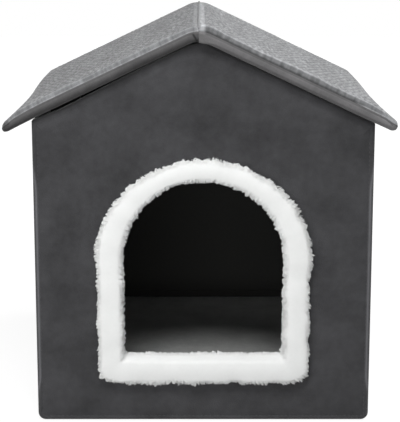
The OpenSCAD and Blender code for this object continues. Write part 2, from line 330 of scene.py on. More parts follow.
def simulated(u, v, start):
    """Height of a cloth that is sewn down along its border and pushed out from behind."""
    number = np.arange(u.size).reshape(u.shape)
    spots = np.stack([u, v, start], -1).reshape(-1, 3)
    sheet = new_piece("loose_cloth", spots, cells(number).tolist())
    border = np.concatenate([number[0], number[-1], number[:, 0], number[:, -1]])
    sewn = sheet.vertex_groups.new(name="sewn")
    sewn.add(np.unique(border).tolist(), 1.0, "REPLACE")
    cloth = sheet.modifiers.new("cloth", "CLOTH")
    cloth.collision_settings.use_collision = False
    settings = cloth.settings
    settings.vertex_group_mass = "sewn"
    settings.quality = 6
    settings.mass = 0.2
    settings.tension_stiffness = 20
    settings.compression_stiffness = 20
    settings.shear_stiffness = 8
    settings.bending_stiffness = 0.3
    settings.shrink_min = -0.006
    settings.use_pressure = True
    settings.uniform_pressure_force = 4
    settings.effector_weights.gravity = 0
    for moment in range(1, 21):
        scene.frame_set(moment)
    moved = sheet.evaluated_get(bpy.context.evaluated_depsgraph_get()).data
    height = point_values(moved, "co")[:, 2].reshape(u.shape)
    mesh = sheet.data
    bpy.data.objects.remove(sheet)
    bpy.data.meshes.remove(mesh)
    scene.frame_set(1)
    return np.maximum(height, 0)


def billow(u_low, u_high, v_low, v_high, most, seed):
    """The swell of the cloth over a panel, up to a most, as a function of the place on it."""
    step = 5 * MM
    columns = round((u_high - u_low) / step) + 1
    rows = round((v_high - v_low) / step) + 1
    u, v = np.meshgrid(np.linspace(u_low, u_high, columns), np.linspace(v_low, v_high, rows), indexing="ij")
    start = 0.1 * MM * (1 + ripple(field(u, v), 12 * MM, seed))
    lift = simulated(u, v, start)
    lift = most * (1 - np.exp(-lift / most))

    def at(place_u, place_v):
        across = np.clip((place_u - u_low) / (u_high - u_low), 0, 1) * (columns - 1)
        up = np.clip((place_v - v_low) / (v_high - v_low), 0, 1) * (rows - 1)
        i = np.minimum(across.astype(int), columns - 2)
        j = np.minimum(up.astype(int), rows - 2)
        s, t = across - i, up - j
        low = lift[i, j] * (1 - s) + lift[i + 1, j] * s
        high = lift[i, j + 1] * (1 - s) + lift[i + 1, j + 1] * s
        return low * (1 - t) + high * t
    return at


# Outlines of the gabled walls

def arc(x, z, radius, start, end, count=9):
    angle = np.linspace(start, end, count)
    return np.stack([x + radius * np.cos(angle), z + radius * np.sin(angle)], 1)


def gable_outline(foot_half_w, foot_z, foot_r, shoulder_r):
    """Outline of a gabled wall, anticlockwise from its lower right corner."""
    shoulder_z = SHOULDER_Z - shoulder_r * (1 - math.sin(SLOPE)) / math.cos(SLOPE)
    right = np.vstack([
        arc(foot_half_w - foot_r, foot_z + foot_r, foot_r, -math.pi / 2, 0),
        arc(WALL_HALF_W - shoulder_r, shoulder_z, shoulder_r, 0, math.pi / 2 - SLOPE),
    ])
    apex = [[0, SHOULDER_Z + WALL_HALF_W * math.tan(SLOPE)]]
    return np.vstack([right, apex, right[::-1] * (-1, 1)])


def walked(outline, step):
    """A closed outline with its long edges split into steps."""
    found = []
    for start, end in zip(outline, np.roll(outline, -1, axis=0)):
        count = max(1, math.ceil(np.linalg.norm(end - start) / step))
        found.append(start + (end - start) * np.arange(count)[:, None] / count)
    return np.vstack(found)


def inward(outline):
    """For each point, the way to the arch's centre, scaled to go 1 unit in from the outline's edge."""
    along = unit(np.roll(outline, -1, axis=0) - np.roll(outline, 1, axis=0))
    normal = np.stack([-along[:, 1], along[:, 0]], 1)
    ray = unit(ARCH_CENTRE - outline)
    return ray / np.maximum((ray * normal).sum(1), 0.5)[:, None]


def arch_reach(ray, half_w, rise, drop, squareness):
    """Distance from the middle of the arch's springing line to an outline, along each ray."""
    x = np.abs(ray[:, 0]) / half_w
    z = np.abs(ray[:, 1])
    over = 1 / np.hypot(x, z / rise)
    under = (x ** squareness + (z / drop) ** squareness) ** (-1 / squareness)
    return np.where(ray[:, 1] >= 0, over, under)


def hole_reach(ray):
    """Distance from the middle of the arch's springing line to the edge of the opening in the wall."""
    return arch_reach(ray, HOLE_HALF_W, HOLE_HALF_W, SPRING_Z - HOLE_SILL_Z, HOLE_SQUARENESS)


def gable_piece(name, outline, first_rows, row_count, thickness, outer_r, inner_r, spot,
                outer_form, inner_form, doorway, inner_part=0):
    """A sewn pad with a gabled outline, in rings from its edge to the doorway or the middle."""
    way = inward(outline)
    ray = unit(outline - ARCH_CENTRE)
    reach = hole_reach(ray) if doorway else np.full(len(ray), MIDDLE_R)
    last = ARCH_CENTRE + ray * reach[:, None]
    first = outline + way * first_rows[-1]
    depth = np.linalg.norm(last - first, axis=1) / np.linalg.norm(way, axis=1)
    shares = np.linspace(0, 1, row_count + 1)[1:]
    rings = [outline + way * row for row in first_rows]
    rings += [first + (last - first) * share for share in shares]
    inside = [np.full(len(outline), row) for row in first_rows]
    inside += [first_rows[-1] + depth * share for share in shares]
    plan = np.vstack(rings)
    inside = np.concatenate(inside)
    outer_w = outer_form(plan[:, 0], plan[:, 1], inside) - rounding(inside, outer_r)
    inner_w = rounding(inside, inner_r) - thickness - inner_form(plan[:, 0], plan[:, 1], inside)
    count = len(outline)
    total = len(plan)
    loops = [np.arange(count) + count * ring for ring in range(len(rings))]
    faces = []
    finish = []
    for ring_a, ring_b in zip(loops[:-1], loops[1:]):
        faces += [f[::-1] for f in strip(ring_a, ring_b)]
        faces += strip(ring_a + total, ring_b + total)
        finish += [0] * count + [inner_part] * count
    faces += strip(loops[0], loops[0] + total)
    points = [spot(plan[:, 0], plan[:, 1], outer_w), spot(plan[:, 0], plan[:, 1], inner_w)]
    cloth = [plan, plan]
    # Only the upright edges between foot and shoulder get the painted highlight along their crest
    off_crest = 9 * MM
    upright = rising(np.abs(plan[:, 0]) + inside, WALL_HALF_W - 9 * MM, WALL_HALF_W - 5 * MM)
    upright *= rising(plan[:, 1], 8 * MM, 50 * MM)
    upright *= 1 - rising(plan[:, 1], SHOULDER_Z - 70 * MM, SHOULDER_Z - 8 * MM)
    edge = [inside + off_crest * (1 - upright)] * 2
    if doorway:
        faces += [f[::-1] for f in strip(loops[-1], loops[-1] + total)]
    else:
        faces.append(tuple(loops[-1]))
        faces.append(tuple(loops[-1][::-1] + total))
    finish += [0] * (len(faces) - len(finish) - 1) + [0 if doorway else inner_part]
    piece = new_piece(name, np.vstack(points), faces, {"edge": np.concatenate(edge)}, np.vstack(cloth))
    piece.data.polygons.foreach_set("material_index", finish)
    return piece


# Places of the panels: u to the right and v upwards as seen from outside, w outwards

def on_front(u, v, w):
    return np.stack([u, front_low.y - w, v], -1)


def on_back(u, v, w):
    return np.stack([-u, back_high.y + w, v], -1)


def on_side(side):
    def spot(u, v, w):
        return np.stack([side * (half_high.x + w), side * u, v], -1)
    return spot


def under_roof(side, top, hinge=None):
    """Places on a side wall whose top is drawn up to the slope of the roof, except at its hinge."""
    place = on_side(side)

    def spot(u, v, w):
        rise = (SIDE_RISE[side] - w * math.tan(SLOPE)) * rising(v, top - HEM_W, top)
        if hinge is not None:
            rise = rise * rising(np.abs(u - hinge), 2 * MM, 14 * MM)
        return place(u, v + rise, w)
    return spot


def on_floor(u, v, w):
    return np.stack([u, v, floor_high.z + w], -1)


def deeper(spot, depth):
    """The places a depth below other places."""
    def below(u, v, w):
        return spot(u, v, w - depth)
    return below


def eave_form(side, u, v):
    """How far a roof panel's eave stands out at its corners and is drawn in between them, which
    share of its thickness is pressed out there, and how far its front corner hangs."""
    behind = ROOF_HALF_D + side * v
    outer = np.clip((u - EAVE_REACH) / (50 * MM) + 1, 0, 1)
    corner = 0.5 * MM + 4.8 * MM * np.exp(-behind / (45 * MM))
    waist = (4.05 - 1.15 * side) * MM * bell(behind, 115 * MM, 105 * MM)
    thin = (0.3 - 0.1 * side) * (1 - rising(behind, 150 * MM, 330 * MM))
    droop = (0.3 - 0.9 * side) * MM * np.exp(-behind / (60 * MM))
    return (corner - waist) * outer ** 2, thin * (1 - np.sqrt(1 - outer ** 2)), droop * outer ** 2


def on_roof(side):
    """Roof panel: u runs down from the ridge, with the mitre and the rounding at the ridge."""
    def spot(u, v, w):
        stretch, thin, droop = eave_form(side, u, v)
        u = u + stretch
        w = (w + ROOF_T) * (1 - thin) - ROOF_T - droop
        to_mitre = -w * math.tan(SLOPE) * np.clip(1 - u / (25 * MM), 0, 1)
        down = u + to_mitre
        out = down * math.cos(SLOPE) + w * math.sin(SLOPE)
        height = PEAK_Z - down * math.sin(SLOPE) + w * math.cos(SLOPE)
        near = np.minimum(out, RIDGE_R * math.sin(SLOPE))
        round_z = RIDGE_Z - RIDGE_R + np.sqrt(RIDGE_R ** 2 - near ** 2)
        over = PEAK_Z - near * math.tan(SLOPE) - round_z
        height = height - over * np.clip(1 + w / ROOF_T, 0, 1)
        return np.stack([RIDGE_X + side * out, side * v, height], -1)
    return spot


# Effects that several finishes share

def add_node(tree, kind, **values):
    """A node with settings and input values, given by name."""
    node = tree.nodes.new(kind)
    for key, value in values.items():
        if hasattr(node, key):
            setattr(node, key, value)
        else:
            node.inputs[key.replace("_", " ")].default_value = value
    return node


def feed(tree, value, socket):
    """Sets a socket to a number, or links another socket to it."""
    if isinstance(value, (int, float)):
        socket.default_value = value
    else:
        tree.links.new(value, socket)


def maths(tree, operation, first, second=0.0):
    """A Math node on two sockets or numbers."""
    node = add_node(tree, "ShaderNodeMath", operation=operation)
    feed(tree, first, node.inputs[0])
    feed(tree, second, node.inputs[1])
    return node.outputs[0]


def contrasted(tree, value, contrast):
    """A shade about 1 that follows a value about 0."""
    return maths(tree, "ADD", 1.0, maths(tree, "MULTIPLY", value, contrast))


def new_group(name, inputs, outputs):
    """An empty shader group with named value sockets, and its two end nodes."""
    group = bpy.data.node_groups.new(name, "ShaderNodeTree")
    for label, value in inputs.items():
        socket = group.interface.new_socket(label, in_out="INPUT", socket_type="NodeSocketFloat")
        socket.default_value = value
    for label in outputs:
        group.interface.new_socket(label, in_out="OUTPUT", socket_type="NodeSocketFloat")
    return group, group.nodes.new("NodeGroupInput"), group.nodes.new("NodeGroupOutput")


def noise_value(tree, coordinates, scale, detail):
    """Noise between about -0.5 and 0.5, at a scale given by a socket or a number."""
    node = add_node(tree, "ShaderNodeTexNoise", Detail=detail)
    tree.links.new(coordinates, node.inputs["Vector"])
    feed(tree, scale, node.inputs["Scale"])
    return maths(tree, "SUBTRACT", node.outputs["Fac"], 0.5)


def cloth_directions(tree):
    """The cloth's own map, and its two directions."""
    whole = add_node(tree, "ShaderNodeUVMap", uv_map="cloth").outputs["UV"]
    split = tree.nodes.new("ShaderNodeSeparateXYZ")
    tree.links.new(whole, split.inputs[0])
    return whole, split.outputs[0], split.outputs[1]


def brushed_pile():
    """Blotches where the pile lies another way, and the fine grain of its fibres."""
    group, start, end = new_group(
        "brushed_pile", {"Blotch Size": 0.05, "Contrast": 0.3, "Fibre Size": 0.0012}, ["Shade", "Height"])
    where = group.nodes.new("ShaderNodeTexCoord").outputs["Object"]
    blotch_scale = maths(group, "DIVIDE", 1.0, start.outputs["Blotch Size"])
    fibre_scale = maths(group, "DIVIDE", 1.0, start.outputs["Fibre Size"])
    broad = noise_value(group, where, blotch_scale, 3.0)
    streak = noise_value(group, where, maths(group, "MULTIPLY", blotch_scale, 5.0), 2.0)
    fibre = noise_value(group, where, fibre_scale, 2.0)
    mixed = maths(group, "MULTIPLY", broad, 1.6)
    for value, weight in ((streak, 0.7), (fibre, 0.5)):
        mixed = maths(group, "ADD", mixed, maths(group, "MULTIPLY", value, weight))
    group.links.new(contrasted(group, mixed, start.outputs["Contrast"]), end.inputs["Shade"])
    group.links.new(maths(group, "ADD", fibre, 0.5), end.inputs["Height"])
    return group


def plain_weave():
    """Threads over and under each other, along the cloth's own map."""
    group, start, end = new_group("plain_weave", {"Thread": 0.0008, "Contrast": 0.2}, ["Shade", "Height"])
    cloth, u, v = cloth_directions(group)
    turn = maths(group, "DIVIDE", math.pi, start.outputs["Thread"])
    warp = maths(group, "SINE", maths(group, "MULTIPLY", u, turn))
    weft = maths(group, "SINE", maths(group, "MULTIPLY", v, turn))
    height = maths(group, "MULTIPLY", maths(group, "MULTIPLY", warp, weft), 0.5)
    slub = noise_value(group, cloth, maths(group, "DIVIDE", 0.2, start.outputs["Thread"]), 3.0)
    shade = contrasted(group, maths(group, "ADD", height, slub), start.outputs["Contrast"])
    group.links.new(shade, end.inputs["Shade"])
    group.links.new(maths(group, "ADD", height, 0.5), end.inputs["Height"])
    return group


def slub_yarn():
    """Short thick and thin stretches of yarn that run along the cloth's map from front to back."""
    group, start, end = new_group("slub_yarn", {"Length": 0.02, "Width": 0.003, "Contrast": 0.5}, ["Shade"])
    u, v = cloth_directions(group)[1:]
    join = group.nodes.new("ShaderNodeCombineXYZ")
    group.links.new(maths(group, "DIVIDE", u, start.outputs["Width"]), join.inputs[0])
    group.links.new(maths(group, "DIVIDE", v, start.outputs["Length"]), join.inputs[1])
    thick = noise_value(group, join.outputs[0], 1.0, 1.0)
    group.links.new(contrasted(group, thick, start.outputs["Contrast"]), end.inputs["Shade"])
    return group


def painted_welt_highlight():
    """Where a painted highlight goes: 1 along the crest of a sewn edge, falling to 0 on both sides of it.
    """
    group, start, end = new_group("painted_welt_highlight", {"Crest": 0.0034, "Width": 0.0013}, ["Mask"])
    edge = add_node(group, "ShaderNodeAttribute", attribute_name="edge")
    off = maths(group, "SUBTRACT", edge.outputs["Fac"], start.outputs["Crest"])
    part = maths(group, "DIVIDE", off, start.outputs["Width"])
    squared = maths(group, "MULTIPLY", part, part)
    group.links.new(maths(group, "EXPONENT", maths(group, "MULTIPLY", squared, -1.0)), end.inputs["Mask"])
    return group


PILE = brushed_pile()
WEAVE = plain_weave()
SLUB = slub_yarn()
WELT_HIGHLIGHT_MASK = painted_welt_highlight()


def new_finish(name, roughness, sheen=0.0, sheen_roughness=0.5):
    """A material and its nodes, with constant values set on the Principled shader itself."""
    finish = bpy.data.materials.new(name)
    finish.use_nodes = True
    shader = finish.node_tree.nodes["Principled BSDF"]
    shader.inputs["Roughness"].default_value = roughness
    shader.inputs["Specular IOR Level"].default_value = 0.25
    shader.inputs["Sheen Weight"].default_value = sheen
    shader.inputs["Sheen Roughness"].default_value = sheen_roughness
    return finish, finish.node_tree


def place_group(tree, group, **values):
    return add_node(tree, "ShaderNodeGroup", node_tree=group, **values)


def coated(finish, colour, shade, height=None, depth=0.0):
    """A finish with a colour times a shade that changes over the surface, and with a fine bump."""
    tree = finish.node_tree
    shader = tree.nodes["Principled BSDF"]
    scaled = add_node(tree, "ShaderNodeVectorMath", operation="SCALE")
    scaled.inputs[0].default_value = colour
    tree.links.new(shade, scaled.inputs["Scale"])
    tree.links.new(scaled.outputs[0], shader.inputs["Base Color"])
    if height is not None:
        bump = add_node(tree, "ShaderNodeBump", Distance=depth)
        tree.links.new(height, bump.inputs["Height"])
        tree.links.new(bump.outputs["Normal"], shader.inputs["Normal"])
    return finish


def pile_finish(name, colour, blotch, contrast, fibre, sheen, highlight):
    """Brushed cloth with a pile: velvet and plush, painted lighter along the crests of their sewn edges as
    a painted highlight of the pile's sheen.
    """
    finish, tree = new_finish(name, 0.85, sheen, 0.45)
    pile = place_group(tree, PILE, Blotch_Size=blotch, Contrast=contrast, Fibre_Size=fibre)
    # Painted highlight: the crest of each sewn edge is painted lighter, where the pile's sheen would catch
    # the light
    highlight_mask = place_group(tree, WELT_HIGHLIGHT_MASK, Crest=3.3 * MM, Width=1.3 * MM)
    lift = maths(tree, "MULTIPLY", highlight_mask.outputs["Mask"], highlight)
    shade = maths(tree, "ADD", pile.outputs["Shade"], lift)
    return coated(finish, colour, shade, pile.outputs["Height"], 0.5 * MM)


def woven_finish(name, colour, thread, contrast, roughness, sheen=0.1):
    """Plain woven cloth."""
    finish, tree = new_finish(name, roughness, sheen, 0.5)
    weave = place_group(tree, WEAVE, Thread=thread, Contrast=contrast)
    return coated(finish, colour, weave.outputs["Shade"], weave.outputs["Height"], 0.25 * MM)


def quilt_finish(name, colour):
    """Roof cloth: woven, with the painted shade and highlights of its embossing, its hem and its stitched
    lines.
    """
    finish, tree = new_finish(name, 0.62, 0.2, 0.4)
    weave = place_group(tree, WEAVE, Thread=0.7 * MM, Contrast=0.25)
    pile = place_group(tree, PILE, Blotch_Size=45 * MM, Contrast=0.2, Fibre_Size=1.5 * MM)
    slub = place_group(tree, SLUB, Length=26 * MM, Width=3.4 * MM, Contrast=1.3)
    # The roof's painted shade and highlights, with a little tone that differs at random
    tone_and_painted_shade = add_node(tree, "ShaderNodeAttribute", attribute_name="tone_and_painted_shade")
    shade = weave.outputs["Shade"]
    for other in (pile.outputs["Shade"], slub.outputs["Shade"], tone_and_painted_shade.outputs["Fac"]):
        shade = maths(tree, "MULTIPLY", shade, other)
    return coated(finish, colour, shade, weave.outputs["Height"], 0.3 * MM)


def band_finish(name, colour):
    """Plain brushed cloth on the edges of the roof, times its painted shade and highlights."""
    finish, tree = new_finish(name, 0.8, 0.15, 0.45)
    pile = place_group(tree, PILE, Blotch_Size=25 * MM, Contrast=0.45, Fibre_Size=1.2 * MM)
    # The band's painted shade and highlights, with a little tone that differs at random
    tone_and_painted_shade = add_node(tree, "ShaderNodeAttribute", attribute_name="tone_and_painted_shade")
    shade = maths(tree, "MULTIPLY", pile.outputs["Shade"], tone_and_painted_shade.outputs["Fac"])
    return coated(finish, colour, shade, pile.outputs["Height"], 0.4 * MM)


def fur_finish(name, colour):
    """Long white pile, painted a little darker towards its roots as painted shade between the strands."""
    finish, tree = new_finish(name, 0.9, 0.35, 0.5)
    along = add_node(tree, "ShaderNodeAttribute", attribute_name="along")
    pile = place_group(tree, PILE, Blotch_Size=18 * MM, Contrast=0.05, Fibre_Size=2 * MM)
    # Painted shade: the strands are painted a little darker towards their roots, where they shade each
    # other
    root = maths(tree, "ADD", 0.93, maths(tree, "MULTIPLY", along.outputs["Fac"], 0.07))
    return coated(finish, colour, maths(tree, "MULTIPLY", pile.outputs["Shade"], root))


def foam_finish(name, colour):
    """Open-celled foam, seen only where a panel is opened."""
    finish, tree = new_finish(name, 0.95)
    pile = place_group(tree, PILE, Blotch_Size=30 * MM, Contrast=0.12, Fibre_Size=1 * MM)
    return coated(finish, colour, pile.outputs["Shade"], pile.outputs["Height"], 0.6 * MM)


def grip_finish(name, colour):
    """Dark woven cloth with rows of small rubber dots."""
    finish, tree = new_finish(name, 0.75)
    weave = place_group(tree, WEAVE, Thread=0.9 * MM, Contrast=0.3)
    dots = add_node(tree, "ShaderNodeTexVoronoi", Scale=1 / (7 * MM), Randomness=0.0)
    tree.links.new(cloth_directions(tree)[0], dots.inputs["Vector"])
    inside = maths(tree, "LESS_THAN", dots.outputs["Distance"], 0.22)
    shade = maths(tree, "ADD", weave.outputs["Shade"], maths(tree, "MULTIPLY", inside, 0.9))
    height = maths(tree, "ADD", maths(tree, "MULTIPLY", weave.outputs["Height"], 0.3), inside)
    return coated(finish, colour, shade, height, 0.6 * MM)


# The highlight values set how much lighter the crests of sewn edges are painted, as painted highlights
velvet = pile_finish(
    "velvet", (0.047, 0.047, 0.050), blotch=42 * MM, contrast=0.75, fibre=1.1 * MM, sheen=0.25, highlight=1.9)
plush = pile_finish(
    "plush", (0.700, 0.710, 0.695), blotch=30 * MM, contrast=0.30, fibre=1.6 * MM, sheen=0.2, highlight=0.1)
quilt = quilt_finish("quilt", (0.245, 0.249, 0.257))
band = band_finish("roof_band", (0.110, 0.108, 0.110))
lining = woven_finish(
    "lining", (0.030, 0.030, 0.028), thread=0.8 * MM, contrast=0.3, roughness=0.85, sheen=0.0)
piping = woven_finish("piping", (0.034, 0.034, 0.036), thread=0.6 * MM, contrast=0.3, roughness=0.7)
thread = woven_finish("thread", (0.055, 0.055, 0.058), thread=0.3 * MM, contrast=0.3, roughness=0.6)
fur = fur_finish("fur", (0.93, 0.94, 0.93))
foam = foam_finish("foam", (0.83, 0.79, 0.66))
grip_cloth = grip_finish("grip_cloth", (0.022, 0.022, 0.023))


# Camera at the photograph's viewing angle
camera_data = bpy.data.cameras.new("camera")
camera_data.sensor_width = 36
camera_data.lens = 101.27
camera = bpy.data.objects.new("camera", camera_data)
camera.location = (-3.36 * MM, -1340.2 * MM, 510.3 * MM)
camera.rotation_euler = (math.radians(90 - 13.77), 0, 0)
scene.collection.objects.link(camera)
scene.camera = camera


# Front and back wall

def wall_swell(low_z, high_z, seed):
    """Outer face of a gabled wall: an edge welt with its seam, and the swell of the cloth."""
    swell = billow(-WALL_HALF_W, WALL_HALF_W, low_z, high_z, 1.0 * MM, seed)

    def form(u, v, inside):
        spots = field(u, v, seed * 10 * MM)
        slack = 0.6 * MM * ripple(spots, 70 * MM, seed) + 0.25 * MM * ripple(spots, 22 * MM, seed + 1)
        welt = 0.5 * MM * bell(inside, 3.4 * MM, 0.9 * MM) - 0.45 * MM * bell(inside, WELT_IN, 0.8 * MM)
        below = 1 - rising(v, SHOULDER_Z - 12 * MM, SHOULDER_Z + 4 * MM)
        puffed = swell(u, v) * rising(inside, 5.5 * MM, 12 * MM)
        return welt * below + puffed + slack * rising(inside, 6 * MM, 30 * MM)
    return form


def lining_seat(u, v, inside):
    """Inner face of a cover: its hem, and the lower window that the lining fills."""
    return -(CLOTH_T + LAYER_GAP / 2) * rising(inside, HEM_W - 0.3 * MM, HEM_W)


def lining_slack(seed):
    """Thin lining that lies a little slack."""
    def form(u, v, inside):
        slack = 0.3 * MM + 0.25 * MM * ripple(field(u, v, seed * 10 * MM), 40 * MM, seed)
        return slack * rising(inside, 0, 6 * MM)
    return form


def lining_piece(name, us, vs, spot, seed):
    """The thin lining of a rectangular panel."""
    cloth = pad_piece(
        name + "_lining", us, vs, 1 * MM, CLOTH_T, CLOTH_TOP_R, CLOTH_EDGE_R, spot,
        None, lining_slack(seed), side_rows=1)
    return dress(cloth, name, [lining], [name + "_lining"])


def flat_form(u, v, inside):
    return np.zeros_like(u)


def stitch_row(name, path, form, inside, spot, body):
    """A row of small stitches along a path on a panel's outer face, sunk in at both ends."""
    walk = length_along(path)
    count = int(walk[-1] / STITCH_STEP)
    share = np.array([0, 0.15, 0.5, 0.85, 1])
    at = np.arange(count)[:, None] * walk[-1] / count + share * STITCH_L
    u, v = np.interp(at, walk, path[:, 0]), np.interp(at, walk, path[:, 1])
    crown = np.array([-0.35, 0.0, 0.12, 0.0, -0.35]) * MM
    level = form(u, v, np.full_like(u, inside)) + crown
    middle = spot(u, v, level)
    facing = unit(spot(u, v, level + 1 * MM) - middle)
    across = unit(np.cross(np.gradient(middle, axis=1), facing))
    thick = np.array([0.14, 0.3, 0.34, 0.3, 0.14])[:, None] * MM
    sides = 6
    rings = []
    for turn in np.arange(sides) * 2 * math.pi / sides:
        rings.append(middle + thick * (math.cos(turn) * across + math.sin(turn) * facing))
    points = np.stack(rings, 2).reshape(-1, 3)
    number = np.arange(len(points)).reshape(count, len(share), sides)
    beside = np.roll(number, -1, axis=2)
    quads = np.stack([number[:, :-1], number[:, 1:], beside[:, 1:], beside[:, :-1]], -1)
    faces = quads.reshape(-1, 4).tolist()
    faces += number[:, 0].tolist() + number[:, -1, ::-1].tolist()
    cloth = np.stack([np.repeat(at[..., None], sides, 2).ravel(), np.zeros(len(points))], 1)
    dress(new_piece(name, points, faces, None, cloth), body, [thread])


EDGE_ROWS = np.array([0, 0.25, 0.7, 1.4, 2.2, 2.8, 3.4, 4.0, 4.7, 5.4, 6.1, 7.5, 9.6, 10.1, 12]) * MM


def gabled_wall(name, outline, spot, seed, doorway):
    """A gabled wall's cover, its row of stitches and its lining."""
    swell = wall_swell(outline[:, 1].min(), outline[:, 1].max(), seed)
    path = walked(outline, OUTLINE_STEP)
    cover = gable_piece(
        name + "_cover", path, EDGE_ROWS, WALL_RINGS, WALL_T, EDGE_R, FOLD_R, spot,
        swell, lining_seat, doorway, inner_part=1)
    dress(cover, name, [velvet, lining], [name + "_cover"])
    row = path + inward(path) * WELT_IN
    row = np.roll(row, -row[:, 1].argmax(), axis=0)
    row = row[row[:, 1] < SHOULDER_Z - 14 * MM]
    stitch_row(name + "_stitches", row, swell, WELT_IN, spot, name)
    edge = walked(outline, 6 * MM)
    inner_outline = edge + inward(edge) * (HEM_W + LAYER_GAP)
    rows = np.array([0, 0.4, 1, 2.5, 6]) * MM
    cloth = gable_piece(
        name + "_lining", inner_outline, rows, LINING_RINGS, CLOTH_T, CLOTH_TOP_R, CLOTH_EDGE_R,
        deeper(spot, WALL_T - CLOTH_T), flat_form, lining_slack(seed + 5), doorway)
    dress(cloth, name, [lining], [name + "_lining"])
    x, z = inner_outline.T
    area = abs((x * np.roll(z, -1) - z * np.roll(x, -1)).sum()) / 2
    if doorway:
        area -= 2 * HOLE_HALF_W * (SPRING_Z - HOLE_SILL_Z) + math.pi * HOLE_HALF_W ** 2 / 2


def raised_left(outline, rise, corner_rise, start):
    """The left slope of a gable drawn up towards the apex and at its shoulder, where the loose
    roof leaves a gap. The slope begins to rise a distance left of the apex."""
    apex_z = outline[:, 1].max()
    up = np.clip((outline[:, 1] - SHOULDER_Z) / (apex_z - SHOULDER_Z), 0, 1)
    up = rising(up, 0, 0.7)
    left = rising(-outline[:, 0], start, start + 14 * MM)
    from_corner = np.hypot(outline[:, 0] + WALL_HALF_W, outline[:, 1] - SHOULDER_Z)
    raised = outline + (rise * up * left)[:, None] * (-math.sin(SLOPE), math.cos(SLOPE))
    return raised + (corner_rise * bell(from_corner, 0, 22 * MM))[:, None] * (0, 1)


front_outline = walked(gable_outline(front_high.x, front_low.z, FOOT_R, SHOULDER_R / 4), OUTLINE_STEP)
front_outline = raised_left(front_outline, rise=2.6 * MM, corner_rise=2.8 * MM, start=0.5 * MM)
back_outline = walked(gable_outline(back_high.x, back_low.z, FOLD_R, SHOULDER_R), OUTLINE_STEP)
back_outline = raised_left(back_outline, rise=3.2 * MM, corner_rise=2.8 * MM, start=0.5 * MM)
gabled_wall("front", front_outline, on_front, seed=3, doorway=True)
gabled_wall("back", back_outline[::-1] * (-1, 1), on_back, seed=7, doorway=False)


# Side walls, their returns and seams

def along_side(low, high, side):
    """From where to where a box reaches along a side wall, as seen from outside."""
    return (low.y, high.y) if side > 0 else (-high.y, -low.y)


def half_swell(u_low, u_high, v_low, v_high, seed):
    """A face of a side wall: the seam along its edge, and the swell of the cloth."""
    swell = billow(u_low, u_high, v_low, v_high, 0.9 * MM, seed)

    def form(u, v, inside):
        spots = field(u, v, seed * 10 * MM)
        slack = 0.45 * MM * ripple(spots, 55 * MM, seed) + 0.2 * MM * ripple(spots, 18 * MM, seed + 1)
        seam = -0.4 * MM * bell(inside, WELT_IN, 0.8 * MM)
        return seam + swell(u, v) * rising(inside, 5 * MM, 9 * MM) + slack * rising(inside, 5 * MM, 24 * MM)
    return form


def inset(u_low, u_high, v_low, v_high, inside):
    """Path round a rectangle, a distance inside it."""
    corners = np.array([[u_low + inside, v_low + inside], [u_high - inside, v_low + inside],
                        [u_high - inside, v_high - inside], [u_low + inside, v_high - inside]])
    path = walked(corners, 5 * MM)
    return np.vstack([path, path[:1]])


def side_half(name, side, seed):
    """Half a side wall: its cover, its row of stitches and its lining."""
    low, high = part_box(name + "_cover")
    high.z += SIDE_PUFF
    u_low, u_high = along_side(low, high, side)
    hinge = u_high if (side > 0) == name.endswith("rear") else u_low
    spot = under_roof(side, high.z, hinge)
    swell = half_swell(u_low, u_high, low.z, high.z, seed)
    cover = pad_piece(
        name + "_cover", steps(u_low, u_high, 5 * MM, 11 * MM), steps(low.z, high.z, 6 * MM, 11 * MM),
        PANEL_CORNER_R, WALL_T, FOLD_R, FOLD_R, spot, swell, lining_seat, parts=(0, 0, 1))
    dress(cover, name, [velvet, lining], [name + "_cover"])
    row = inset(u_low, u_high, low.z, high.z, WELT_IN)
    stitch_row(name + "_stitches", row, swell, WELT_IN, spot, name)
    low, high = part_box(name + "_lining")
    u_low, u_high = along_side(low, high, side)
    cloth = lining_piece(
        name, steps(u_low, u_high, 7 * MM, 6 * MM), steps(low.z, high.z, 8 * MM, 6 * MM),
        deeper(spot, WALL_T - CLOTH_T), seed + 4)


def corner_return(name, body, side, seed):
    """The short padded return at a corner, which carries the corner's seam."""
    low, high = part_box(name)
    high.z += SIDE_PUFF
    u_low, u_high = along_side(low, high, side)
    outer, inner = (half_swell(u_low, u_high, low.z, high.z, seed + n) for n in (0, 3))
    piece = pad_piece(
        name, steps(u_low, u_high, 4 * MM, 6 * MM), steps(low.z, high.z, 6 * MM, 6 * MM),
        PANEL_CORNER_R, WALL_T, FOLD_R, FOLD_R, under_roof(side, high.z), outer, inner)
    dress(piece, body, [velvet], [name])


